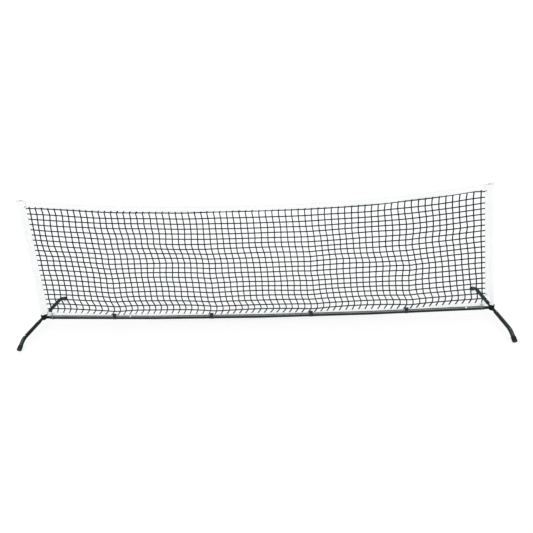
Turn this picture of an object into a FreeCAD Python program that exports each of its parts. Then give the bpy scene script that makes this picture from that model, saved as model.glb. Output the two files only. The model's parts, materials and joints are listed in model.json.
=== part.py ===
"""Portable pickleball net: a tube base with two feet, two posts and a net with white tapes.

Units are millimetres. X runs along the crossbar, +Y is the back, +Z is up. The origin is on the floor
at the middle of the base. The bar bows down and the right post leans in, as a set-up net pulls them.
"""
import FreeCAD, Part

import math
import os

Vector = FreeCAD.Vector
X_AXIS = Vector(1, 0, 0)
Y_AXIS = Vector(0, 1, 0)
Z_AXIS = Vector(0, 0, 1)

# Driving dimensions
SPAN = 3100.0            # between the post axes, at the base
BAR_Z = 50.0             # tube axis height at the feet
BAR_BOW = 28.0           # how far the bar hangs lower at mid-span
POST_TOP = 914.0         # top of the post tube
CAP_HEAD = 5.0           # post cap above the tube
LEAN = {"left": 0.0, "right": 5.5}    # inward lean of each post, degrees

# Tubes
TUBE_R = 12.7
WALL = 1.5
BORE_R = TUBE_R - WALL
MALE_R = BORE_R - 1.0    # the tube that plugs into another, with play
MALE_BORE_R = MALE_R - WALL
PLUG = 50.0              # how far one tube reaches into the next
HUB_COVERED = 50.0       # hub axis to the mouth of the bar tube
BAR_SECTIONS = 4
JOINT_GAP = 0.3

# Feet
LEG_MOUTH = 60.0         # hub axis to the mouth of a leg tube
LEG_BEND = 280.0         # hub axis to the bend
LEG_TIP_Y = 351.0
LEG_TIP_Z = 13.6
LEG_BEND_R = 120.0
RUBBER_R = 15.5
RUBBER_GRIP = 28.0
RUBBER_END = 4.0
FIT_GAP = 0.1

# Posts and sockets
POST_R = 12.7
SOCKET_R = 14.8
SOCKET_WALL = 1.8
SOCKET_BOTTOM = 34.0
SOCKET_FLOOR = 37.0
SOCKET_TOP = 72.0
CAP_R = 14.2
CAP_PLUG = 22.0

# Snap buttons
BUTTON_R = 3.5
BUTTON_HOLE_R = 3.9
BUTTON_TOP = TUBE_R + 1.7
BUTTON_DOME = 1.5
FLANGE_R = 4.4
FLANGE_LOW = 5.9
FLANGE_HIGH = 6.9
BUTTON_IN = 20.0         # mouth of the outer tube to its button
SPRING_T = 0.8
SPRING_W = 6.0
SPRING_REACH = 15.0
SPRING_GAP = 0.1
SPRING_LIFT = 0.8        # leaf above the bore, so that it clears a tilted tube

# Net
SEAM = 44.0              # post axis to the inner edge of the side sleeve
CELLS_ACROSS = 70
CELLS_UP = 21.1          # strands stand half a cell in from the sleeves
ROWS = 21
LOWEST_ROW = 0.75        # cells from the bottom tape to the lowest row
STRAND_W = 5.0
STRAND_T = 4.0
EDGE_GAP = 0.2

# Headband: its top edge falls from the posts to a low point
BAND_H = 40.0
BAND_T = 5.0
BAND_LOW_X = 120.0
BAND_LOW_Z = 826.0
BAND_RISE = 84.0
BAND_POWER = 2.3

# Side sleeves
SLEEVE_LOW = {"left": 75.0, "right": 140.0}
SLEEVE_HIGH = 911.0
SLEEVE_CLEAR = 0.4
CLOTH_T = 1.5
SLEEVE_TIP = 30.0        # post axis to where the two layers meet

# Bottom tape and straps
TAPE_LIFT = 2.2          # tape's lower edge above the bar
TAPE_T = 4.0
TAPE_DIP = 2.0           # tape height at a strap
TAPE_BAYS = (26.4, 17.4, 12.4, 17.4, 27.4)
TAPE_POWER = 0.6
STRAP_CELLS = (11, 27, 43, 58)
STRAP_W = 24.0
STRAP_T = 1.6
STRAP_TIP = 23.0
STRAP_TIP_R = 2.6
STRAP_CLEAR = 0.4

# Eyelets, corner ties and marker dots
EYELET_R = 6.5
EYELET_TOP_Z = 868.0
EYELET_HOLE_R = 3.5
EYELET_T = 1.0
TIE_R = 1.5
TIE_X = 26.0             # tie to the seam, along the bar
TIE_TOP = 25.0           # bar axis to the centre of the cord's turn through the tape
TIE_TURN_R = 4.0
TIE_HOLE_R = 2.8
DOT_R = 5.5
DOT_T = 0.5
DOT_TILT = 60.0
DOTS_ON_BAR = (-920.0, 1380.0)
DOT_ON_LEG = -262.0

HALF = SPAN / 2
BAR_MOUTH = HALF - HUB_COVERED
SECTION = 2 * BAR_MOUTH / BAR_SECTIONS
PIVOT_Z = (SOCKET_FLOOR + SOCKET_TOP) / 2
POST_WALL = WALL


def save(node, shape):
    """Write one node."""
    shape.exportStep(os.path.join("parts", node + ".step"))


def rod(radius, start, end):
    """A solid cylinder from start to end."""
    along = end - start
    return Part.makeCylinder(radius, along.Length, start, along)


def ring_face(centre, normal, outer, inner):
    """A flat ring."""
    edge = Part.Wire(Part.makeCircle(outer, centre, normal))
    return Part.Face([edge, Part.Wire(Part.makeCircle(inner, centre, normal))])


def bar_joints():
    """X of the feet and of every place where two bar tubes meet."""
    mouths = [-BAR_MOUTH + index * SECTION for index in range(BAR_SECTIONS + 1)]
    return [-HALF] + mouths + [HALF]


def bar_axis(x):
    """A point on the bar's axis: straight tubes, turned a little at each joint."""
    joints = bar_joints()
    index = max(1, sum(1 for joint in joints[:-1] if joint <= x))
    ends = [Vector(at, 0, BAR_Z - BAR_BOW * (1 - (at / HALF) ** 2))
            for at in joints[index - 1:index + 1]]
    return ends[0] + (ends[1] - ends[0]) * ((x - ends[0].x) / (ends[1].x - ends[0].x))


def bar_slope(x):
    """The bar's tilt at x, in degrees."""
    step = bar_axis(x + 1) - bar_axis(x)
    return math.degrees(math.atan2(step.z, step.x))


def button_xs():
    """X of each snap button on the bar, from left to right."""
    ends = BAR_MOUTH - BUTTON_IN
    return (-ends, -SECTION - BUTTON_IN, BUTTON_IN, SECTION + BUTTON_IN, ends)


def button_places():
    """The tube axis under every snap button: five on the bar, two on each foot."""
    places = [bar_axis(x) for x in button_xs()]
    for x in (-HALF, HALF):
        for side in (-1, 1):
            places.append(Vector(x, side * (LEG_MOUTH + BUTTON_IN), BAR_Z))
    return places


def cut_button_holes(shape):
    """Open a hole in the top wall under each button."""
    for place in button_places():
        shape = shape.cut(rod(BUTTON_HOLE_R, place, place + Z_AXIS * 2 * TUBE_R))
    return shape


def make_bar():
    """Four sections. The second plugs into both its neighbours, the third into the fourth."""
    plug_ends = {1: (True, True), 2: (False, True)}
    joints = bar_joints()[1:-1]
    for index, (low, high) in enumerate(zip(joints, joints[1:])):
        along = (bar_axis(high) - bar_axis(low)).normalize()
        start = bar_axis(low) + along * JOINT_GAP
        end = bar_axis(high) - along * JOINT_GAP
        plug_low, plug_high = plug_ends.get(index, (False, False))
        neck_start = start - along * PLUG * plug_low
        neck_end = end + along * PLUG * plug_high
        tube = rod(TUBE_R, start, end)
        if plug_low or plug_high:
            tube = tube.fuse(rod(MALE_R, neck_start, neck_end))
            tube = tube.cut(rod(MALE_BORE_R, neck_start, neck_end))
        tube = tube.cut(rod(BORE_R, start + along * PLUG * plug_low,
                            end - along * PLUG * plug_high))
        save("crossbar_tube_%d" % (index + 1), cut_button_holes(tube).removeSplitter())


def make_hub(name, x, inward):
    """Foot tube, bar stub and post socket, welded."""
    reach = LEG_MOUTH + PLUG
    bar_way = (bar_axis(x + inward * HUB_COVERED) - bar_axis(x)).normalize()
    socket_out = SOCKET_R + SOCKET_WALL
    axis = Vector(x, 0, BAR_Z)
    foot = rod(MALE_R, axis - Y_AXIS * reach, axis + Y_AXIS * reach)
    stub = rod(MALE_R, axis, axis + bar_way * (HUB_COVERED + PLUG))
    socket = rod(socket_out, Vector(x, 0, SOCKET_BOTTOM), Vector(x, 0, SOCKET_TOP))
    hub = foot.fuse([stub, socket])
    for side in (-1, 1):
        hub = hub.cut(rod(MALE_BORE_R, axis + Y_AXIS * side * socket_out,
                          axis + Y_AXIS * side * reach))
    hub = hub.cut(rod(MALE_BORE_R, axis + bar_way * socket_out,
                      axis + bar_way * (HUB_COVERED + PLUG)))
    hub = hub.cut(rod(SOCKET_R, Vector(x, 0, SOCKET_FLOOR), Vector(x, 0, SOCKET_TOP)))
    save("foot_hub_" + name, cut_button_holes(hub).removeSplitter())


def leg_path(x, side):
    """Straight out, a bend down, and straight to the tip."""
    bend = Vector(x, side * LEG_BEND, BAR_Z)
    tip = Vector(x, side * LEG_TIP_Y, LEG_TIP_Z)
    down = (tip - bend).normalize()
    out = Y_AXIS * side
    turn = out.getAngle(down)
    tangent = LEG_BEND_R * math.tan(turn / 2)
    start = bend - out * tangent
    end = bend + down * tangent
    sag = LEG_BEND_R * (1 / math.cos(turn / 2) - 1)
    middle = bend + (down - out).normalize() * sag
    mouth = Vector(x, side * LEG_MOUTH, BAR_Z)
    edges = [Part.makeLine(mouth, start), Part.Arc(start, middle, end).toShape(),
             Part.makeLine(end, tip)]
    return Part.Wire(edges), tip, down


def make_leg(name, x, side):
    """A bent tube and its rubber end, cut flat where it stands on the floor."""
    path, tip, down = leg_path(x, side)
    mouth = Vector(x, side * LEG_MOUTH, BAR_Z)
    solids = []
    for radius in (TUBE_R, BORE_R):
        profile = Part.Wire(Part.makeCircle(radius, mouth, Y_AXIS * side))
        solids.append(path.makePipeShell([profile], True, False))
    save("foot_leg_" + name, cut_button_holes(solids[0].cut(solids[1])))

    rubber = rod(RUBBER_R, tip - down * RUBBER_GRIP, tip + down * RUBBER_END)
    rubber = rubber.cut(rod(TUBE_R + FIT_GAP, tip - down * RUBBER_GRIP, tip + down * FIT_GAP))
    block = Part.makeBox(4 * RUBBER_R, 8 * RUBBER_R, 2 * RUBBER_R,
                         tip - Vector(2 * RUBBER_R, 4 * RUBBER_R, tip.z + 2 * RUBBER_R))
    save("foot_rubber_" + name, rubber.cut(block))


def stand(shape, side, lift=0.0):
    """Move a shape made round the Z axis onto a post's axis. Its +X faces the net's middle."""
    angle = LEAN[side]
    shape.translate(Vector(0, 0, lift))
    shape.rotate(Vector(0, 0, PIVOT_Z), Y_AXIS, angle)
    if side == "right":
        shape.rotate(Vector(0, 0, 0), Z_AXIS, 180)
        shape.translate(Vector(HALF, 0, 0))
    else:
        shape.translate(Vector(-HALF, 0, 0))
    return shape


def seat_lift(side):
    """How far a leaning post stands up so that its low edge rests on the socket floor."""
    angle = math.radians(LEAN[side])
    depth = PIVOT_Z - SOCKET_FLOOR
    return (POST_R * math.sin(angle) - depth * (1 - math.cos(angle))) / math.cos(angle)


def make_post(side):
    post = ring_face(Vector(0, 0, SOCKET_FLOOR), Z_AXIS, POST_R, POST_R - POST_WALL)
    post = post.extrude(Z_AXIS * (POST_TOP - SOCKET_FLOOR))
    head = rod(CAP_R, Vector(0, 0, POST_TOP), Vector(0, 0, POST_TOP + CAP_HEAD))
    head = head.makeFillet(CAP_HEAD / 2, [head.Edges[0]])
    plug = rod(POST_R - POST_WALL - FIT_GAP, Vector(0, 0, POST_TOP - CAP_PLUG),
               Vector(0, 0, POST_TOP))
    save("upright_post_" + side, stand(post, side, seat_lift(side)))
    save("upright_cap_" + side, stand(head.fuse(plug).removeSplitter(), side, seat_lift(side)))


def make_button(number, place):
    """A domed pin on a flange, held up by a bent leaf spring."""
    top = place + Z_AXIS * BUTTON_TOP
    pin = rod(BUTTON_R, place + Z_AXIS * FLANGE_LOW, top)
    pin = pin.makeFillet(BUTTON_DOME, [pin.Edges[0]])
    flange = rod(FLANGE_R, place + Z_AXIS * FLANGE_LOW, place + Z_AXIS * FLANGE_HIGH)
    save("snap_button_%d" % number, pin.fuse(flange).removeSplitter())

    along = Y_AXIS if place.y else X_AXIS
    across = Z_AXIS.cross(along)
    high = FLANGE_LOW - SPRING_GAP
    low = SPRING_LIFT - math.sqrt(MALE_BORE_R ** 2 - (SPRING_W / 2) ** 2)
    outline = ((-SPRING_REACH, low), (SPRING_REACH, low), (SPRING_REACH, low + SPRING_T),
               (SPRING_T - SPRING_REACH, low + SPRING_T), (FLANGE_R, high), (-SPRING_T, high),
               (-SPRING_REACH, low + SPRING_T))
    corner = place - across * SPRING_W / 2
    points = [corner + along * a + Z_AXIS * h for a, h in outline]
    leaf = Part.Face(Part.makePolygon(points + points[:1])).extrude(across * SPRING_W)
    save("snap_spring_%d" % number, leaf)


def band_top(x):
    """Height of the headband's top edge."""
    end = seam_x(SLEEVE_HIGH) if x > BAND_LOW_X else -HALF + SEAM
    share = (x - BAND_LOW_X) / (end - BAND_LOW_X)
    return BAND_LOW_Z + BAND_RISE * abs(share) ** BAND_POWER


def seam_x(z):
    """X of the right sleeve's inner edge at height z."""
    angle = math.radians(LEAN["right"])
    rise = (z - PIVOT_Z + SEAM * math.sin(angle)) / math.cos(angle)
    return HALF - rise * math.sin(angle) - SEAM * math.cos(angle)


def strap_x(cell):
    left = -HALF + SEAM
    return left + (seam_x(BAR_Z + TUBE_R) - left) * cell / CELLS_ACROSS


def tape_height(x):
    """Height of the bottom tape: it arches between the straps that pull it down."""
    stops = [strap_x(cell) for cell in STRAP_CELLS]
    bay = sum(1 for stop in stops if x > stop)
    if bay == 0:
        share = (x + HALF) / (stops[0] + HALF)
        wave = math.cos(math.pi * share / 2)
    elif bay == len(stops):
        share = (HALF - x) / (HALF - stops[-1])
        wave = math.cos(math.pi * share / 2)
    else:
        share = (x - stops[bay - 1]) / (stops[bay] - stops[bay - 1])
        wave = math.sin(math.pi * share)
    return TAPE_DIP + (TAPE_BAYS[bay] - TAPE_DIP) * max(wave, 0) ** TAPE_POWER


def tape_bottom(x):
    return bar_axis(x).z + TUBE_R + TAPE_LIFT


def net_point(column, row):
    """A place in the net, counted in cells from the left sleeve and from the bottom tape."""
    left = -HALF + SEAM + EDGE_GAP
    x = left
    z = BAR_Z
    for _ in range(3):
        x = left + (seam_x(z) - EDGE_GAP - left) * column / CELLS_ACROSS
        low = tape_bottom(x) + tape_height(x) + EDGE_GAP
        high = band_top(x) - BAND_H - EDGE_GAP
        z = low + (high - low) * row / CELLS_UP
    return Vector(x, 0, z)


def make_net():
    """The netting, with its real openings and a sewn strand along each edge."""
    columns = [0] + [c + 0.5 for c in range(CELLS_ACROSS)] + [CELLS_ACROSS]
    rows = [0] + [r + LOWEST_ROW for r in range(ROWS)] + [CELLS_UP]
    knots = [[net_point(c, r) for c in columns] for r in rows]
    outline = list(knots[0])
    outline += [row[-1] for row in knots[1:-1]]
    outline += knots[-1][::-1]
    outline += [row[0] for row in knots[-2:0:-1]]
    wires = [Part.makePolygon(outline + outline[:1])]
    inset = STRAND_W / 2
    for low, high in zip(knots, knots[1:]):
        for c in range(len(columns) - 1):
            cell = [low[c] + Vector(inset, 0, inset), low[c + 1] + Vector(-inset, 0, inset),
                    high[c + 1] + Vector(-inset, 0, -inset), high[c] + Vector(inset, 0, -inset)]
            wires.append(Part.makePolygon(cell + cell[:1]))
    face = Part.Face(wires)
    face.translate(Vector(0, -STRAND_T / 2, 0))
    save("net_mesh", face.extrude(Y_AXIS * STRAND_T))


def edge_points(height):
    """Points along the net's width on a curve z = height(x), ends at the sleeves."""
    left = -HALF + SEAM + EDGE_GAP
    points = []
    for step in range(CELLS_ACROSS + 1):
        x = left
        for _ in range(3):
            x = left + (seam_x(height(x)) - EDGE_GAP - left) * step / CELLS_ACROSS
        points.append(Vector(x, 0, height(x)))
    return points


def cloth_strip(low, high, thickness):
    """A flat strip of cloth between two curves."""
    outline = edge_points(low) + edge_points(high)[::-1]
    face = Part.Face(Part.makePolygon(outline + outline[:1]))
    face.translate(Vector(0, -thickness / 2, 0))
    return face.extrude(Y_AXIS * thickness)


def make_headband():
    save("headband", cloth_strip(lambda x: band_top(x) - BAND_H, band_top, BAND_T))


def tie_place(sign):
    return bar_axis(sign * (HALF - SEAM - TIE_X))


def make_bottom_tape():
    """The tape, with a hole for the cord tie at each end."""
    tape = cloth_strip(tape_bottom, lambda x: tape_bottom(x) + tape_height(x), TAPE_T)
    for sign in (-1, 1):
        hole = tie_place(sign) + Z_AXIS * (TIE_TOP + TIE_TURN_R)
        tape = tape.cut(rod(TIE_HOLE_R, hole - Y_AXIS * TAPE_T, hole + Y_AXIS * TAPE_T))
    save("bottom_tape", tape)


def teardrop(big, small, distance, normal, across):
    """A wire round two circles: big at the origin, small at a distance along across."""
    slope = math.asin((big - small) / distance)
    side = normal.cross(across)
    ends = []
    for sign in (-1, 1):
        out = across * math.sin(slope) + side * sign * math.cos(slope)
        ends.append((out * big, across * distance + out * small))
    tip = across * (distance + small)
    edges = [Part.Arc(ends[0][0], across * -big, ends[1][0]).toShape(),
             Part.makeLine(ends[1][0], ends[1][1]),
             Part.Arc(ends[1][1], tip, ends[0][1]).toShape(),
             Part.makeLine(ends[0][1], ends[0][0])]
    return Part.Wire(edges)


def make_sleeve(side):
    """A cloth pocket round the post, sewn to a flat seam on the net's side."""
    inner = POST_R + SLEEVE_CLEAR
    height = SLEEVE_HIGH - SLEEVE_LOW[side]
    outside = teardrop(inner + CLOTH_T, CLOTH_T, SLEEVE_TIP, Z_AXIS, X_AXIS)
    inside = teardrop(inner, CLOTH_T / 4, SLEEVE_TIP - CLOTH_T, Z_AXIS, X_AXIS)
    sleeve = Part.Face([outside, inside]).extrude(Z_AXIS * height)
    seam = Part.makeBox(SEAM - SLEEVE_TIP, 2 * CLOTH_T, height, Vector(SLEEVE_TIP, -CLOTH_T, 0))
    sleeve = sleeve.fuse(seam).removeSplitter()
    sleeve.translate(Vector(0, 0, SLEEVE_LOW[side]))
    for z in eyelet_heights(side):
        hole = rod(EYELET_HOLE_R, eyelet_place(z) - Y_AXIS * SEAM, eyelet_place(z) + Y_AXIS * SEAM)
        sleeve = sleeve.cut(hole)
    save("side_sleeve_" + side, stand(sleeve, side))


def eyelet_heights(side):
    return (SLEEVE_LOW[side] + 2 * EYELET_R, EYELET_TOP_Z)


def eyelet_place(z):
    return Vector(SEAM - EYELET_R - CLOTH_T / 2, 0, z)


def make_eyelets():
    """A metal ring on each face of the seam, at every corner."""
    rings = []
    for side in ("left", "right"):
        for z in eyelet_heights(side):
            for face in (-1, 1):
                start = eyelet_place(z) + Y_AXIS * face * CLOTH_T
                ring = ring_face(start, Y_AXIS, EYELET_R, EYELET_HOLE_R)
                rings.append(stand(ring.extrude(Y_AXIS * face * EYELET_T), side))
    save("net_eyelets", Part.makeCompound(rings))


def make_strap(number, cell):
    """A hook-and-loop strap round the bar and the bottom tape."""
    inner = TUBE_R + STRAP_CLEAR
    outside = teardrop(inner + STRAP_T, STRAP_TIP_R + STRAP_T, STRAP_TIP, X_AXIS, Z_AXIS)
    inside = teardrop(inner, STRAP_TIP_R, STRAP_TIP, X_AXIS, Z_AXIS)
    strap = Part.Face([outside, inside]).extrude(X_AXIS * STRAP_W)
    strap.translate(Vector(-STRAP_W / 2, 0, 0))
    x = strap_x(cell)
    strap.rotate(Vector(0, 0, 0), Y_AXIS, -bar_slope(x))
    strap.translate(bar_axis(x))
    save("net_strap_%d" % number, strap)


def make_tie(side, sign):
    """A cord loop that ties the net's bottom corner to the bar."""
    drop = TUBE_R + 3 * TIE_R
    loop = teardrop(drop, TIE_TURN_R, TIE_TOP, X_AXIS, Z_AXIS)
    profile = Part.Wire(Part.makeCircle(TIE_R, Z_AXIS * -drop, Y_AXIS))
    tie = loop.makePipeShell([profile], True, False)
    tie.translate(tie_place(sign))
    save("corner_tie_" + side, tie)


def make_dots():
    """Blank round stickers: two on the bar, one on a leg."""
    lean = math.radians(DOT_TILT)
    out = Vector(0, -math.cos(lean), math.sin(lean))
    dots = []
    for x in DOTS_ON_BAR:
        dots.append(round_sticker(bar_axis(x - DOT_R), bar_axis(x + DOT_R), out))
    place = Vector(-HALF, DOT_ON_LEG, BAR_Z)
    dots.append(round_sticker(place - Y_AXIS * DOT_R, place + Y_AXIS * DOT_R, Z_AXIS))
    save("marker_dots", Part.makeCompound(dots))


def round_sticker(start, end, out):
    """A thin disc wrapped on a tube between two points of its axis."""
    middle = (start + end) / 2
    skin = rod(TUBE_R + DOT_T, start, end).cut(rod(TUBE_R, start, end))
    return skin.common(rod(DOT_R, middle, middle + out * 2 * TUBE_R))


def main():
    os.makedirs("parts", exist_ok=True)
    make_bar()
    for name, x in (("left", -HALF), ("right", HALF)):
        make_hub(name, x, -math.copysign(1, x))
        make_leg("front_" + name, x, -1)
        make_leg("back_" + name, x, 1)
        make_post(name)
        make_sleeve(name)
        make_tie(name, math.copysign(1, x))
    for number, place in enumerate(button_places(), 1):
        make_button(number, place)
    for number, cell in enumerate(STRAP_CELLS, 1):
        make_strap(number, cell)
    make_headband()
    make_bottom_tape()
    make_net()
    make_eyelets()
    make_dots()


main()
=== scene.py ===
"""Looks for the portable pickleball net: metres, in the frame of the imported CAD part."""

import json
import math

import bpy
from mathutils import Matrix, Vector, noise

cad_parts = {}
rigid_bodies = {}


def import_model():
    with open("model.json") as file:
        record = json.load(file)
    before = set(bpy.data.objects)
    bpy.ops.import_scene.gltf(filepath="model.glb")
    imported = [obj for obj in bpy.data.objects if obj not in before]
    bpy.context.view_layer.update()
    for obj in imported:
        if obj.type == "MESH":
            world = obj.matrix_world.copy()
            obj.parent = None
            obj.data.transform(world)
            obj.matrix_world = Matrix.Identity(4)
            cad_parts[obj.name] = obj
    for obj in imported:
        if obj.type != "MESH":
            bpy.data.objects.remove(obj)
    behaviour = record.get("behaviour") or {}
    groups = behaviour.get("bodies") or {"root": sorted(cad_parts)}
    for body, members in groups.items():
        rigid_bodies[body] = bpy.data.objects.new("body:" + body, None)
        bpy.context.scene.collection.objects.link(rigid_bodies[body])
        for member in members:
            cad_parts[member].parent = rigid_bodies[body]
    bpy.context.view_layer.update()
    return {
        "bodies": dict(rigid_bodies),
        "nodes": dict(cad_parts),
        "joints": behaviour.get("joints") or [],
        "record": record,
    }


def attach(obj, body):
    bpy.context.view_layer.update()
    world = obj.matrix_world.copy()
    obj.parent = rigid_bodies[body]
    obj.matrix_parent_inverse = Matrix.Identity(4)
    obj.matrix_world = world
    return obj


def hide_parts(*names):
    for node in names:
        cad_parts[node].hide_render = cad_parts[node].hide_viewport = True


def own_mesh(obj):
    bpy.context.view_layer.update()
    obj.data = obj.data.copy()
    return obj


# Camera
FOCAL_PX = 481.5
IMAGE_PX = 533.0
CENTRE_PX = (257.8, 221.6)
CAMERA_AT = Vector((0.209, -2.950, 1.700))
CAMERA_YAW = math.radians(-3.82)
CAMERA_PITCH = math.radians(-18.48)
CAMERA_ROLL = math.radians(-3.16)

# Sizes that the CAD part has too
HALF = 1.550
BAR_Z = 0.050
BAR_BOW = 0.028
BAR_MOUTH = 1.500
BAR_SECTIONS = 4
TUBE_R = 0.0127
LEAN = {"left": 0.0, "right": math.radians(5.5)}
PIVOT_Z = 0.0545
SEAM = 0.044
POST_R = 0.0127
CELLS_ACROSS = 70
CELLS_UP = 21.1
ROWS = 21
LOWEST_ROW = 0.75
BAND_H = 0.040
BAND_LOW_X = 0.120
BAND_LOW_Z = 0.826
BAND_RISE = 0.084
BAND_POWER = 2.3
SLEEVE_LOW = {"left": 0.075, "right": 0.140}
SLEEVE_HIGH = 0.911
SLEEVE_CLEAR = 0.0004
CLOTH_T = 0.0015
EYELET_TOP_Z = 0.868
EYELET_IN = 0.00725      # eyelet's centre to the seam's edge
EYELET_UP = 0.013        # sleeve's low end to its eyelet
TAPE_LIFT = 0.0022
TAPE_DIP = 0.002
TAPE_BAYS = (0.0264, 0.0174, 0.0124, 0.0174, 0.0274)
TAPE_POWER = 0.6
STRAP_CELLS = (11, 27, 43, 58)
STRAP_W = 0.024
STRAP_TIP = 0.023
TIE_X = 0.026
TIE_R = 0.0015
LEG_BEND_Y = 0.280
LEG_TIP_Y = 0.351
LEG_TIP_Z = 0.0136

# Sizes of the detail made here
TWINE_R = 0.0040
KNOT_R = 0.0050
STRAND_HOLD = 0.001      # how far a strand's end goes into a tape
STITCH = 0.0050
STITCH_STEP = 0.0085
THREAD_R = 0.0005
STITCHED_LENGTH = 2.93
STRAP_LAYER = 0.0017     # how far the strap's end lies over its start
STRAP_HALF_T = 0.0007

# How the netting hangs: lengths in metres, rows counted from the bottom tape
CHEVRON = 0.015
CHEVRON_ROW = 1.25
KINK = 0.006
KINK_ROW = 11.5
UPPER_LEAN = 0.005
UPPER_ROW = 19.6
TOP_ROW = 20.75
TOP_RISE = (0.006, 0.004)
DRIFT = 0.011
UNEVEN = 0.0030
DROP = 0.005
BULGE = 0.004

# Light
ROOM_LIGHT = 1.05
LIGHT_Z = 2.6
FOOT_LIGHT_COLOUR = (0.62, 1.0, 0.86)

X_AXIS = Vector((1, 0, 0))
Y_AXIS = Vector((0, 1, 0))
Z_AXIS = Vector((0, 0, 1))


# ---------------------------------------------------------------- shape of the set-up net

def bar_joints():
    section = 2 * BAR_MOUTH / BAR_SECTIONS
    return [-HALF] + [-BAR_MOUTH + i * section for i in range(BAR_SECTIONS + 1)] + [HALF]


def bar_axis(x):
    """A point on the crossbar's axis."""
    joints = bar_joints()
    index = max(1, sum(1 for joint in joints[:-1] if joint <= x))
    low, high = joints[index - 1:index + 1]
    z_low, z_high = (BAR_Z - BAR_BOW * (1 - (at / HALF) ** 2) for at in (low, high))
    return Vector((x, 0, z_low + (z_high - z_low) * (x - low) / (high - low)))


def seam_x(z):
    """X of the right sleeve's inner edge at height z."""
    angle = LEAN["right"]
    rise = (z - PIVOT_Z + SEAM * math.sin(angle)) / math.cos(angle)
    return HALF - rise * math.sin(angle) - SEAM * math.cos(angle)


def band_top(x):
    end = seam_x(SLEEVE_HIGH) if x > BAND_LOW_X else -HALF + SEAM
    return BAND_LOW_Z + BAND_RISE * abs((x - BAND_LOW_X) / (end - BAND_LOW_X)) ** BAND_POWER


def strap_x(cell):
    left = -HALF + SEAM
    return left + (seam_x(BAR_Z + TUBE_R) - left) * cell / CELLS_ACROSS


def tape_height(x):
    """Height of the bottom tape, which arches between the straps."""
    stops = [strap_x(cell) for cell in STRAP_CELLS]
    bay = sum(1 for stop in stops if x > stop)
    if bay == 0:
        wave = math.cos(math.pi * (x + HALF) / (stops[0] + HALF) / 2)
    elif bay == len(stops):
        wave = math.cos(math.pi * (HALF - x) / (HALF - stops[-1]) / 2)
    else:
        wave = math.sin(math.pi * (x - stops[bay - 1]) / (stops[bay] - stops[bay - 1]))
    return TAPE_DIP + (TAPE_BAYS[bay] - TAPE_DIP) * max(wave, 0) ** TAPE_POWER


def tape_bottom(x):
    return bar_axis(x).z + TUBE_R + TAPE_LIFT


def tape_top(x):
    return tape_bottom(x) + tape_height(x)


def band_bottom(x):
    return band_top(x) - BAND_H


def net_point(column, row):
    """A place in the net before it goes slack, counted in cells from the left and the bottom."""
    left = -HALF + SEAM
    x = left
    z = BAR_Z
    for _ in range(3):
        x = left + (seam_x(z) - left) * column / CELLS_ACROSS
        z = tape_top(x) + (band_bottom(x) - tape_top(x)) * row / CELLS_UP
    return Vector((x, 0, z))


def hump(value, centre, width):
    return math.exp(-((value - centre) / width) ** 2)


def wander(x, y, seed):
    """Smooth noise between about -1 and 1."""
    return noise.noise(Vector((x, y, seed)))


def slack(column, row):
    """How far a knot hangs out of its even place; the net's edges are held."""
    share = column / CELLS_ACROSS
    hold = min(1.0, column / 2, (CELLS_ACROSS - column) / 2, row / 0.7, (CELLS_UP - row) / 0.35)
    along = CHEVRON * hump(row, CHEVRON_ROW, 1.1)
    along += KINK * math.tanh((KINK_ROW + 2.0 * math.sin(5 * share) - row) / 1.2)
    along += UPPER_LEAN * hump(row, UPPER_ROW, 1.0) * (1 - 2 * share)
    along += DRIFT * wander(share * 7, row * 0.33, 1.7)
    along += UNEVEN * wander(column * 0.9, row * 0.9, 8.1)
    up = DROP * wander(share * 9, row * 0.4, 5.3)
    up += (TOP_RISE[0] + TOP_RISE[1] * share) * hump(row, TOP_ROW, 0.8)
    out = BULGE * wander(share * 11, row * 0.25, 3.1)
    return Vector((along, out, up)) * hold


def post_frame(side):
    """From a frame on the post's axis, whose X faces the net's middle, to the object's frame."""
    sign = -1 if side == "left" else 1
    tilt = Matrix.Rotation(LEAN[side], 4, "Y")
    turn = Matrix.Rotation(0 if side == "left" else math.pi, 4, "Z")
    pivot = Matrix.Translation((0, 0, PIVOT_Z))
    return Matrix.Translation((sign * HALF, 0, 0)) @ turn @ pivot @ tilt @ pivot.inverted()


# ---------------------------------------------------------------- mesh helpers

def new_object(name, verts, faces, material, smooth=True):
    mesh = bpy.data.meshes.new(name)
    mesh.from_pydata([tuple(v) for v in verts], [], faces)
    mesh.materials.append(material)
    mesh.polygons.foreach_set("use_smooth", [smooth] * len(mesh.polygons))
    mesh.update()
    obj = bpy.data.objects.new(name, mesh)
    bpy.context.collection.objects.link(obj)
    return obj


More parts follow.
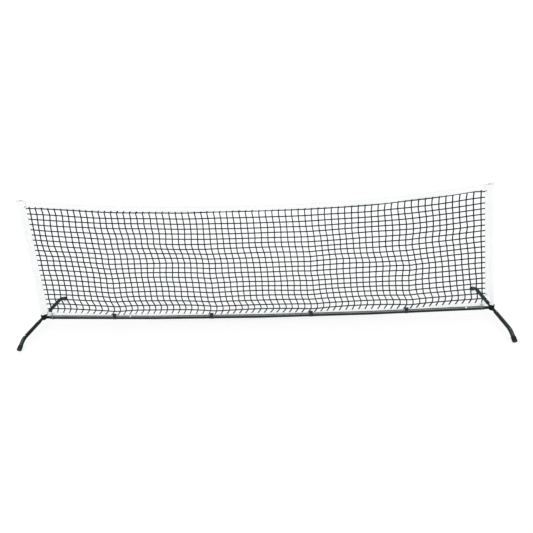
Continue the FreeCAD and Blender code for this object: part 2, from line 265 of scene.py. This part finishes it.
class Soup:
    """Collects vertices and faces of many small forms into one mesh."""

    def __init__(self):
        self.verts = []
        self.faces = []

    def rings(self, rings, closed=False, caps=True):
        """Joins rings of points, each of the same count, with quads."""
        base = len(self.verts)
        count = len(rings[0])
        for ring in rings:
            self.verts += ring
        pairs = list(range(len(rings) - 1))
        for k in pairs + ([len(rings) - 1] if closed else []):
            a = base + k * count
            b = base + ((k + 1) % len(rings)) * count
            for i in range(count):
                j = (i + 1) % count
                self.faces.append((a + i, a + j, b + j, b + i))
        if caps and not closed:
            self.faces.append(tuple(base + i for i in reversed(range(count))))
            last = base + (len(rings) - 1) * count
            self.faces.append(tuple(last + i for i in range(count)))

    def tube(self, path, radius, sides=6, across=Y_AXIS, closed=False):
        """A round tube along a path. radius is a number or one number a point."""
        rings = []
        last = len(path) - 1
        for k, point in enumerate(path):
            if closed:
                along = path[(k + 1) % len(path)] - path[k - 1]
            else:
                along = path[min(k + 1, last)] - path[max(k - 1, 0)]
            along.normalize()
            side = across - along * across.dot(along)
            side.normalize()
            up = along.cross(side)
            size = radius[k] if isinstance(radius, (list, tuple)) else radius
            turn = [2 * math.pi * i / sides for i in range(sides)]
            rings.append([point + (side * math.cos(a) + up * math.sin(a)) * size for a in turn])
        self.rings(rings, closed)

    def lathe(self, start, along, profile, sides=32, across=X_AXIS):
        """A turned form: profile holds (distance along, radius) pairs."""
        side = (across - along * across.dot(along)).normalized()
        up = along.cross(side)
        rings = []
        for distance, radius in profile:
            turn = [2 * math.pi * i / sides for i in range(sides)]
            rings.append([start + along * distance
                          + (side * math.cos(a) + up * math.sin(a)) * radius for a in turn])
        self.rings(rings)

    def make(self, name, material, smooth=True):
        return new_object(name, self.verts, self.faces, material, smooth)


def smooth_path(points, steps):
    """A Catmull-Rom curve through points, with steps pieces between each two."""
    path = []
    last = len(points) - 1
    for k in range(last):
        a = points[max(k - 1, 0)]
        b = points[k]
        c = points[k + 1]
        d = points[min(k + 2, last)]
        for s in range(steps):
            t = s / steps
            path.append(0.5 * ((2 * b) + (c - a) * t + (2 * a - 5 * b + 4 * c - d) * t * t
                               + (3 * b - a - 3 * c + d) * t ** 3))
    path.append(points[last].copy())
    return path


# ---------------------------------------------------------------- materials

class Shader:
    """A small builder for a node material."""

    def __init__(self, name, rough=0.5, **sockets):
        self.material = bpy.data.materials.new(name)
        self.material.use_nodes = True
        self.tree = self.material.node_tree
        self.bsdf = self.tree.nodes["Principled BSDF"]
        self.bsdf.inputs["Roughness"].default_value = rough
        for key, value in sockets.items():
            self.bsdf.inputs[key.replace("_", " ")].default_value = value
        self.coords = self.node("ShaderNodeTexCoord").outputs["Object"]

    def node(self, kind, **settings):
        made = self.tree.nodes.new(kind)
        for key, value in settings.items():
            if key in made.inputs:
                made.inputs[key].default_value = value
            else:
                setattr(made, key, value)
        return made

    def link(self, source, target):
        self.tree.links.new(source, target)

    def noise(self, scale, detail=3.0):
        made = self.node("ShaderNodeTexNoise", Scale=scale, Detail=detail)
        self.link(self.coords, made.inputs["Vector"])
        return made.outputs["Fac"]

    def wave(self, scale, direction, distortion=0.0):
        made = self.node("ShaderNodeTexWave", Scale=scale, Distortion=distortion,
                         bands_direction=direction)
        self.link(self.coords, made.inputs["Vector"])
        return made.outputs["Fac"]

    def ramp(self, value, low, high, start=0.3, end=0.7):
        made = self.node("ShaderNodeValToRGB")
        made.color_ramp.elements[0].position = start
        made.color_ramp.elements[0].color = low
        made.color_ramp.elements[1].position = end
        made.color_ramp.elements[1].color = high
        self.link(value, made.inputs["Fac"])
        return made.outputs["Color"]

    def math(self, operation, a, b):
        made = self.node("ShaderNodeMath", operation=operation)
        for socket, value in zip(made.inputs, (a, b)):
            if isinstance(value, (int, float)):
                socket.default_value = value
            else:
                self.link(value, socket)
        return made.outputs[0]

    def colour(self, value, low, high, start=0.3, end=0.7):
        self.link(self.ramp(value, low, high, start, end), self.bsdf.inputs["Base Color"])

    def bump(self, height, distance, strength=1.0):
        made = self.node("ShaderNodeBump", Strength=strength, Distance=distance)
        self.link(height, made.inputs["Height"])
        self.link(made.outputs["Normal"], self.bsdf.inputs["Normal"])

    def roughness(self, value, low, high):
        grey = self.ramp(value, (low, low, low, 1), (high, high, high, 1))
        self.link(grey, self.bsdf.inputs["Roughness"])


def black_paint():
    s = Shader("black_powder_coat", 0.34, Specular_IOR_Level=0.09)
    s.colour(s.noise(14), (0.0015, 0.0024, 0.0028, 1), (0.0038, 0.0056, 0.0060, 1))
    s.roughness(s.noise(60), 0.27, 0.38)
    s.bump(s.noise(900, 2), 0.00012, 0.6)
    return s.material


def rubber():
    s = Shader("black_rubber", 0.8, Specular_IOR_Level=0.3)
    s.colour(s.noise(45), (0.008, 0.008, 0.009, 1), (0.020, 0.020, 0.021, 1))
    s.roughness(s.noise(120), 0.68, 0.86)
    s.bump(s.noise(1500, 2), 0.00025, 0.7)
    return s.material


def white_paint():
    s = Shader("white_powder_coat", 0.35)
    s.colour(s.noise(10), (0.90, 0.91, 0.92, 1), (0.94, 0.945, 0.95, 1))
    s.roughness(s.noise(80), 0.30, 0.42)
    s.bump(s.noise(900, 2), 0.00008, 0.5)
    return s.material


def white_plastic():
    s = Shader("white_plastic", 0.3)
    s.colour(s.noise(40), (0.80, 0.81, 0.83, 1), (0.88, 0.88, 0.89, 1))
    s.roughness(s.noise(150), 0.25, 0.38)
    s.bump(s.noise(2200, 2), 0.00005, 0.4)
    return s.material


def steel():
    s = Shader("spring_steel", 0.28, Metallic=1.0)
    s.colour(s.noise(300), (0.55, 0.56, 0.58, 1), (0.74, 0.75, 0.77, 1))
    s.roughness(s.noise(700), 0.20, 0.36)
    s.bump(s.wave(1400, "Z", 2.0), 0.00003, 0.4)
    return s.material


def blue_steel():
    s = Shader("zinc_eyelet", 0.35, Metallic=0.7)
    s.colour(s.noise(300), (0.16, 0.27, 0.42, 1), (0.30, 0.44, 0.60, 1))
    s.roughness(s.noise(700), 0.26, 0.42)
    s.bump(s.noise(2500, 2), 0.00004, 0.4)
    return s.material


def twine():
    s = Shader("slate_twine", 0.8, Sheen_Weight=0.04, Specular_IOR_Level=0.1)
    s.colour(s.noise(30), (0.0110, 0.0270, 0.0330, 1), (0.0240, 0.0480, 0.0570, 1))
    twist = s.wave(420, "DIAGONAL", 1.0)
    s.bump(s.math("ADD", twist, s.noise(2500, 2)), 0.0005, 0.8)
    return s.material


def white_tape():
    s = Shader("white_woven_tape", 0.72, Sheen_Weight=0.35, Specular_IOR_Level=0.3)
    s.colour(s.noise(12), (0.945, 0.95, 0.955, 1), (0.975, 0.98, 0.985, 1))
    weave = s.math("MULTIPLY", s.wave(520, "X", 0.4), s.wave(520, "Z", 0.4))
    s.bump(s.math("ADD", weave, s.noise(900, 2)), 0.00035, 0.7)
    return s.material


def strap_cloth():
    s = Shader("black_webbing", 0.7, Sheen_Weight=0.3, Specular_IOR_Level=0.3)
    s.colour(s.noise(80), (0.008, 0.008, 0.009, 1), (0.022, 0.022, 0.024, 1))
    ribs = s.math("MULTIPLY", s.wave(650, "X", 0.3), s.wave(260, "Z", 0.6))
    s.bump(s.math("ADD", ribs, s.noise(1800, 2)), 0.0005, 0.9)
    return s.material


def grey_cord():
    s = Shader("grey_cord", 0.8, Sheen_Weight=0.2)
    s.colour(s.noise(300), (0.22, 0.23, 0.25, 1), (0.38, 0.39, 0.41, 1))
    s.bump(s.wave(700, "DIAGONAL", 1.0), 0.0004, 0.9)
    return s.material


def thread():
    s = Shader("white_thread", 0.65)
    s.colour(s.noise(200), (0.70, 0.72, 0.75, 1), (0.84, 0.85, 0.86, 1))
    s.bump(s.wave(1800, "DIAGONAL", 0.5), 0.0001, 0.7)
    return s.material


def sticker():
    # Painted highlight: flat white dots stand in for bright glints on the tubes and buttons,
    # painted into the colour instead of coming from a lamp.
    s = Shader("painted_glint_white", 0.45)
    s.colour(s.noise(90), (0.82, 0.82, 0.84, 1), (0.92, 0.92, 0.93, 1))
    s.bump(s.noise(1200, 2), 0.00005, 0.4)
    return s.material


def floor_paint():
    s = Shader("pale_floor", 0.9, Specular_IOR_Level=0.0, Emission_Color=(1, 1, 1, 1),
               Emission_Strength=0.75)
    s.colour(s.noise(0.7), (0.290, 0.290, 0.290, 1), (0.310, 0.310, 0.310, 1))
    return s.material


# ---------------------------------------------------------------- the net

def make_netting(material):
    """Every strand of the netting as a round twine, with a knot where two cross."""
    columns = [0] + [c + 0.5 for c in range(CELLS_ACROSS)] + [CELLS_ACROSS]
    rows = [0] + [r + LOWEST_ROW for r in range(ROWS)] + [CELLS_UP]
    grid = [[net_point(c, r) + slack(c, r) for c in columns] for r in rows]
    soup = Soup()
    for index in range(1, len(columns) - 1):
        points = [row[index].copy() for row in grid]
        points[0] -= Z_AXIS * STRAND_HOLD
        points[-1] += Z_AXIS * STRAND_HOLD
        soup.tube(smooth_path(points, 3), TWINE_R, 6)
    for row in grid[1:-1]:
        points = [point.copy() for point in row]
        points[0] -= X_AXIS * STRAND_HOLD
        points[-1] += X_AXIS * STRAND_HOLD
        soup.tube(smooth_path(points, 2), TWINE_R, 6, Y_AXIS)
    net = soup.make("netting", material)
    ties = Soup()
    for r, row in enumerate(grid[1:-1]):
        for c, place in enumerate(row[1:-1]):
            profile = [(-KNOT_R, KNOT_R * 0.3), (-KNOT_R * 0.5, KNOT_R * 0.9),
                       (KNOT_R * 0.5, KNOT_R * 0.9), (KNOT_R, KNOT_R * 0.3)]
            slant = Vector((1, 0, 1 if (r + c) % 2 else -1)).normalized()
            ties.lathe(place, slant, profile, 6, Y_AXIS)
    return net, ties.make("netting_knots", material)


def strip(name, low, high, profile, waves, material, steps=240):
    """A folded tape between two curves. profile holds (share of the height, half thickness)."""
    rings = []
    left = -HALF + SEAM
    for k in range(steps + 1):
        points = []
        for share, half in profile:
            x = left
            for _ in range(3):
                z = low(x) + (high(x) - low(x)) * share
                x = left + (seam_x(z) - left) * k / steps
            points.append((x, z, half, share))
        front = [Vector((x, waves(x, s) - half, z)) for x, z, half, s in points]
        back = [Vector((x, waves(x, s) + half, z)) for x, z, half, s in reversed(points)]
        rings.append(front + back)
    soup = Soup()
    soup.rings(rings)
    return soup.make(name, material)


BAND_PROFILE = ((0.0, 0.0009), (0.02, 0.0021), (0.08, 0.0025), (0.13, 0.0017), (0.18, 0.0024),
                (0.34, 0.0022), (0.52, 0.0021), (0.68, 0.0020), (0.76, 0.0015), (0.82, 0.0027),
                (0.90, 0.0036), (0.97, 0.0026), (1.0, 0.0008))
TAPE_PROFILE = ((0.0, 0.0007), (0.06, 0.0019), (0.2, 0.0022), (0.35, 0.0016), (0.5, 0.0017),
                (0.65, 0.0016), (0.82, 0.0023), (0.95, 0.0019), (1.0, 0.0007))


def band_waves(x, share):
    """How far the headband's cloth stands out of the net's plane."""
    pull = 0.3 + 0.7 * min(1.0, (HALF - abs(x)) / 0.4)
    fold = wander(x * 5.0, share * 0.8, 2.2)
    return 0.0026 * pull * fold + 0.0007 * wander(x * 24.0, share * 2.0, 4.4)


def tape_waves(x, share):
    """How far the bottom tape stands out of the net's plane; the straps hold it."""
    near = min(abs(x - strap_x(cell)) for cell in STRAP_CELLS)
    free = min(1.0, near / 0.12)
    lift = 0.25 + 0.75 * share
    return 0.0030 * free * lift * wander(x * 9.0, 0.3, 6.6)


def stitch_line(soup, place, count, face):
    """A row of thread stitches. place(t) gives a point on the cloth's face."""
    for k in range(count):
        a = place((k + 0.2) / count)
        b = place((k + 0.2 + STITCH / STITCH_STEP) / count)
        middle = (a + b) / 2 + face * THREAD_R * 0.8
        soup.tube([a, middle, b], [THREAD_R * 0.7, THREAD_R, THREAD_R * 0.7], 5, face)


def strip_place(low, high, waves, share, half):
    """A function from 0..1 to a point on a strip's face."""
    left = -HALF + SEAM

    def place(t):
        x = left
        for _ in range(3):
            z = low(x) + (high(x) - low(x)) * share
            x = left + 0.004 + (seam_x(z) - left - 0.008) * t
        return Vector((x, waves(x, share) + half, z))
    return place


def make_tapes(cloth, sewing):
    """The headband, the bottom tape, and the seams of both."""
    band = strip("headband_cloth", band_bottom, band_top, BAND_PROFILE, band_waves, cloth)
    tape = strip("bottom_tape_cloth", tape_bottom, tape_top, TAPE_PROFILE, tape_waves, cloth, 420)
    soup = Soup()
    count = int(STITCHED_LENGTH / STITCH_STEP)
    for sign in (-1, 1):
        for share, half in ((0.13, 0.0017), (0.76, 0.0015)):
            stitch_line(soup, strip_place(band_bottom, band_top, band_waves, share, sign * half),
                        count, Y_AXIS * sign)
        stitch_line(soup, strip_place(tape_bottom, tape_top, tape_waves, 0.5, sign * 0.0017),
                    count, Y_AXIS * sign)
    return band, tape, soup.make("tape_stitches", sewing)


def sleeve_loop(big, small, tip, fin):
    """Half thicknesses of the sleeve's section, from the outer end of the post to the net."""
    slope = math.asin((big - small) / tip)
    points = []
    steps = 14
    for k in range(steps + 1):
        angle = math.pi - (math.pi / 2 + slope) * k / steps
        points.append((big * math.cos(angle), big * math.sin(angle)))
    last = points[-1]
    for k in range(1, 5):
        t = k / 4
        points.append((last[0] + (tip - last[0]) * t, last[1] + (small - last[1]) * t))
    if fin:
        points += [(tip + (fin - tip) * 0.2, small * 0.8), (tip + (fin - tip) * 0.35, small),
                   (tip + (fin - tip) * 0.7, small), (tip + (fin - tip) * 0.82, small * 0.8),
                   (tip + (fin - tip) * 0.95, small * 1.1), (fin, small * 0.5)]
    return points + [(x, -y) for x, y in reversed(points[1:])]


def make_sleeve(side, cloth, sewing):
    """A cloth pocket round the post, with a sewn seam towards the net."""
    frame = post_frame(side)
    low = SLEEVE_LOW[side]
    outer = sleeve_loop(POST_R + SLEEVE_CLEAR + CLOTH_T, 0.0020, 0.030, SEAM)
    inner = sleeve_loop(POST_R + SLEEVE_CLEAR, 0.0005, 0.0285, 0)
    steps = 120
    seed = 3.0 if side == "left" else 9.0

    def crease(x, y, t):
        around = math.atan2(y, x)
        hem = 0.0008 * (hump(t, 0.014, 0.006) + hump(t, 0.986, 0.006))
        fold = 0.0016 * max(0, wander(around * 0.8, t * 16, seed))
        return hem + fold

    def ring(loop, t, grows):
        z = low + (SLEEVE_HIGH - low) * t
        points = []
        for x, y in loop:
            size = math.hypot(x, y)
            more = crease(x, y, t) * (1.0 if x < 0.028 else 0.3) if grows else 0
            points.append(frame @ Vector((x + (x / size * more if x < 0.028 else 0),
                                          y + (y / size if x < 0.028 else math.copysign(0.3, y))
                                          * more, z)))
        return points

    soup = Soup()
    shares = [k / steps for k in range(steps + 1)]
    rings = [ring(outer, t, True) for t in shares]
    soup.rings(rings, caps=False)
    inner_rings = [ring(inner, t, False) for t in reversed(shares)]
    base = len(soup.verts)
    soup.rings(inner_rings, caps=False)
    bridge(soup, 0, len(outer), base + steps * len(inner), len(inner), False)
    bridge(soup, steps * len(outer), len(outer), base, len(inner), True)
    sleeve = soup.make("side_sleeve_%s_cloth" % side, cloth)
    return sleeve, sleeve_stitches(side, frame, low, sewing)


def sleeve_stitches(side, frame, low, sewing):
    """Two seams on each face of the sleeve's flat edge."""
    dashes = Soup()
    count = int((SLEEVE_HIGH - low) / STITCH_STEP)
    for sign in (-1, 1):
        for x in (0.0325, 0.0415):
            def place(t, x=x, sign=sign):
                z = low + 0.003 + (SLEEVE_HIGH - low - 0.006) * t
                return frame @ Vector((x, sign * 0.0018, z))
            stitch_line(dashes, place, count, Y_AXIS * sign)
    return dashes.make("sleeve_stitches_%s" % side, sewing)


def bridge(soup, start_a, count_a, start_b, count_b, flip):
    """Joins two loops of different counts with triangles."""
    i = j = 0
    while i < count_a or j < count_b:
        a = start_a + i % count_a
        b = start_b + j % count_b
        if j >= count_b or (i < count_a and i * count_b <= j * count_a):
            face = (a, start_a + (i + 1) % count_a, b)
            i += 1
        else:
            face = (a, start_b + (j + 1) % count_b, b)
            j += 1
        soup.faces.append(face[::-1] if flip else face)


def strap_path(big, small, tip):
    """(height, radius, angle) along the strap: over the tape, round the bar, over the tape."""
    slope = math.asin((big - small) / tip)
    over = math.pi - 2 * slope
    under = math.pi + 2 * slope
    path = [(tip, small, math.pi - slope - over * k / 8) for k in range(9)]
    path += [(0.0, big, slope - under * k / 30) for k in range(31)]
    path += [(tip, small, math.pi - slope - over * k / 8) for k in range(6)]
    return path


def make_strap(number, cell, material):
    """Hook-and-loop webbing wound round the bar and the tape, its end pressed on itself."""
    axis = bar_axis(strap_x(cell))
    outline = []
    for k, (height, radius, angle) in enumerate(strap_path(TUBE_R + 0.0012, 0.0034, STRAP_TIP)):
        lift = STRAP_LAYER * min(1.0, max(0.0, (k - 30) / 6))
        outline.append(Vector((0, -math.cos(angle) * (radius + lift),
                               height + math.sin(angle) * (radius + lift))))
    section = ((-1, -0.5), (-0.92, -1), (0, -1), (0.92, -1), (1, -0.5),
               (1, 0.5), (0.92, 1), (0, 1), (-0.92, 1), (-1, 0.5))
    rings = []
    last = len(outline) - 1
    for k, point in enumerate(outline):
        along = (outline[min(k + 1, last)] - outline[max(k - 1, 0)]).normalized()
        out = X_AXIS.cross(along)
        rings.append([axis + point + X_AXIS * u * STRAP_W / 2 + out * v * STRAP_HALF_T
                      for u, v in section])
    soup = Soup()
    soup.rings(rings)
    return soup.make("strap_%d_webbing" % number, material)


def make_tie(side, material):
    """A cord tied round the bar and through the net's corner, with a knot and two ends."""
    sign = -1 if side == "left" else 1
    axis = bar_axis(sign * (HALF - SEAM - TIE_X))
    big = TUBE_R + TIE_R + 0.0006
    loop = []
    for k in range(25):
        a = math.radians(140 + 260 * k / 24)
        loop.append(Vector((0.0006 * math.sin(3 * a), math.cos(a) * big, math.sin(a) * big)))
    top = Vector((0, 0, 0.034))
    loop = [top + Vector((0, -0.001, 0))] + loop + [top + Vector((0, 0.001, 0))]
    path = smooth_path([axis + p for p in loop], 2)
    soup = Soup()
    soup.tube(path, TIE_R, 8, X_AXIS)
    knot = axis + Vector((0, -0.004, 0.031))
    soup.lathe(knot - Z_AXIS * 0.004, Z_AXIS, [(0, 0.0012), (0.0015, 0.0034), (0.004, 0.0040),
                                               (0.0065, 0.0032), (0.008, 0.0010)], 10)
    for lean in (-1, 1):
        tail = [knot, knot + Vector((lean * 0.005, -0.004, 0.001)),
                knot + Vector((lean * 0.009, -0.0065, -0.008)),
                knot + Vector((lean * 0.010, -0.007, -0.019))]
        soup.tube(smooth_path(tail, 5), TIE_R * 0.85, 8, Vector((0.3, 1, 0)).normalized())
    return soup.make("corner_tie_%s_cord" % side, material)


def make_eyelets(material):
    """Rolled metal eyelets at the corners, one ring on each face of the cloth."""
    soup = Soup()
    for side in ("left", "right"):
        frame = post_frame(side)
        for z in (SLEEVE_LOW[side] + EYELET_UP, EYELET_TOP_Z):
            centre = frame @ Vector((SEAM - EYELET_IN, 0, z))
            for face in (-1, 1):
                out = Y_AXIS * face
                rings = []
                section = ((0.0065, 0.0), (0.0063, 0.0007), (0.0056, 0.0013), (0.0046, 0.0016),
                           (0.0037, 0.0012), (0.0033, 0.0002))
                for radius, height in section:
                    turn = [2 * math.pi * i / 28 * face for i in range(28)]
                    rings.append([centre + out * (0.0014 + height)
                                  + Vector((math.cos(a), 0, math.sin(a))) * radius for a in turn])
                soup.rings(rings, closed=True)
    return soup.make("corner_eyelets", material)


def make_rubber(name, x, side, material):
    """A moulded rubber end with grip rings, worn flat where it stands."""
    tip = Vector((x, side * LEG_TIP_Y, LEG_TIP_Z))
    bend = Vector((x, side * LEG_BEND_Y, BAR_Z))
    along = (tip - bend).normalized()
    profile = [(-0.0280, 0.0129), (-0.0282, 0.0143), (-0.0272, 0.0151), (-0.0255, 0.0155),
               (-0.0235, 0.0153), (-0.0225, 0.0146)]
    for k in range(4):
        at = -0.0205 + k * 0.0048
        profile += [(at, 0.0146), (at + 0.0007, 0.0153),
                    (at + 0.0026, 0.0153), (at + 0.0033, 0.0146)]
    profile += [(-0.0008, 0.0151), (0.0016, 0.0153), (0.0030, 0.0148), (0.0038, 0.0134),
                (0.0040, 0.0105), (0.0037, 0.0050), (0.0036, 0.0002)]
    soup = Soup()
    soup.lathe(tip, along, profile, 48)
    soup.verts = [Vector((v.x, v.y, max(v.z, 0.0))) for v in soup.verts]
    return soup.make("rubber_end_" + name, material)


# ---------------------------------------------------------------- the scene

def place_camera():
    """The camera, which stands at eye height in front of the net and looks down at it."""
    data = bpy.data.cameras.new("camera")
    data.sensor_width = 36.0
    data.lens = FOCAL_PX / IMAGE_PX * data.sensor_width
    data.shift_x = (IMAGE_PX / 2 - CENTRE_PX[0]) / IMAGE_PX
    data.shift_y = (CENTRE_PX[1] - IMAGE_PX / 2) / IMAGE_PX
    data.clip_end = 200
    ahead = Vector((math.sin(CAMERA_YAW) * math.cos(CAMERA_PITCH),
                    math.cos(CAMERA_YAW) * math.cos(CAMERA_PITCH), math.sin(CAMERA_PITCH)))
    right = Vector((math.cos(CAMERA_YAW), -math.sin(CAMERA_YAW), 0))
    up = right.cross(ahead)
    right, up = (right * math.cos(CAMERA_ROLL) + up * math.sin(CAMERA_ROLL),
                 up * math.cos(CAMERA_ROLL) - right * math.sin(CAMERA_ROLL))
    camera = bpy.data.objects.new("camera", data)
    camera.matrix_world = Matrix((
        (right.x, up.x, -ahead.x, CAMERA_AT.x), (right.y, up.y, -ahead.y, CAMERA_AT.y),
        (right.z, up.z, -ahead.z, CAMERA_AT.z), (0, 0, 0, 1)))
    bpy.context.collection.objects.link(camera)
    bpy.context.scene.camera = camera


def area_light(name, at, size, power, colour=(1, 1, 1)):
    """A soft box facing down that lights only the pieces in a collection of its own."""
    data = bpy.data.lights.new(name, "AREA")
    data.shape = "RECTANGLE"
    data.size, data.size_y = size
    data.energy = power
    data.color = colour
    lamp = bpy.data.objects.new(name, data)
    lamp.location = at
    bpy.context.collection.objects.link(lamp)
    lamp.light_linking.receiver_collection = bpy.data.collections.new(name)
    return lamp.light_linking.receiver_collection


def light_room():
    """An even white room."""
    world = bpy.data.worlds.new("studio")
    world.use_nodes = True
    world.node_tree.nodes["Background"].inputs["Color"].default_value = (1, 1, 1, 1)
    world.node_tree.nodes["Background"].inputs["Strength"].default_value = ROOM_LIGHT
    bpy.context.scene.world = world
    bpy.context.scene.view_settings.view_transform = "Standard"


def make_floor(material):
    """A plain level floor, large enough to reach the horizon."""
    half = 60.0
    floor = new_object("floor", [(-half, -half, 0), (half, -half, 0), (half, half, 0),
                                 (-half, half, 0)], [(0, 1, 2, 3)], material, False)


def paint(names, material, *lights):
    """Give CAD nodes a material, and let lights that light chosen pieces light them."""
    for name in names:
        obj = frame["nodes"][name]
        obj.data.materials.clear()
        obj.data.materials.append(material)
        for lit in lights:
            lit.objects.link(obj)


def mount(obj, slot, *nodes):
    """A finished piece of the still part of the net."""
    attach(obj, "frame")
    if nodes:
        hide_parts(*nodes)
    return obj


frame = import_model()
place_camera()
light_room()
over_bar = area_light("over_bar", (0.0, 0.0, LIGHT_Z), (7.0, 3.6), 3600)
over_feet = [area_light("over_foot_" + side, (x, 0.0, LIGHT_Z), (0.25, 3.0), 260,
                        FOOT_LIGHT_COLOUR)
             for side, x in (("left", -HALF), ("right", HALF))]
make_floor(floor_paint())

paint_black = black_paint()
metal = steel()
cloth = white_tape()
sewing = thread()
webbing = strap_cloth()
cord = grey_cord()
net_twine = twine()
soft_black = rubber()
sides = ("left", "right")

paint(["crossbar_tube_%d" % k for k in range(1, BAR_SECTIONS + 1)], paint_black,
      over_bar)
paint(["foot_hub_" + s for s in sides], paint_black, *over_feet)
paint(["foot_leg_%s_%s" % (f, s) for f in ("front", "back") for s in sides], paint_black,
      *over_feet)
paint(["upright_post_" + s for s in sides], white_paint())
paint(["upright_cap_" + s for s in sides], white_plastic())
paint(["snap_button_%d" % k for k in range(1, 10)], metal)
paint(["snap_spring_%d" % k for k in range(1, 10)], metal)
# The marker dots carry painted highlights: white dots where bright glints show on the tubes.
paint(["marker_dots"], sticker())

netting, balls = make_netting(net_twine)
mount(netting, "netting", "net_mesh")
mount(balls, "netting")
band, tape, tape_stitches = make_tapes(cloth, sewing)
mount(band, "white_tape", "headband")
mount(tape, "white_tape", "bottom_tape")
mount(tape_stitches, "white_tape")
for side in sides:
    sleeve, stitches = make_sleeve(side, cloth, sewing)
    mount(sleeve, "white_tape", "side_sleeve_" + side)
    mount(stitches, "white_tape")
    mount(make_tie(side, cord), "grey_cord", "corner_tie_" + side)
    x = -HALF if side == "left" else HALF
    for end, sign in (("front", -1), ("back", 1)):
        name = "%s_%s" % (end, side)
        mount(make_rubber(name, x, sign, soft_black), "black_rubber", "foot_rubber_" + name)
for number, cell in enumerate(STRAP_CELLS, 1):
    mount(make_strap(number, cell, webbing), "black_strap", "net_strap_%d" % number)
mount(make_eyelets(blue_steel()), "spring_steel", "net_eyelets")

for number in range(1, 10):
    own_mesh(frame["nodes"]["snap_spring_%d" % number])
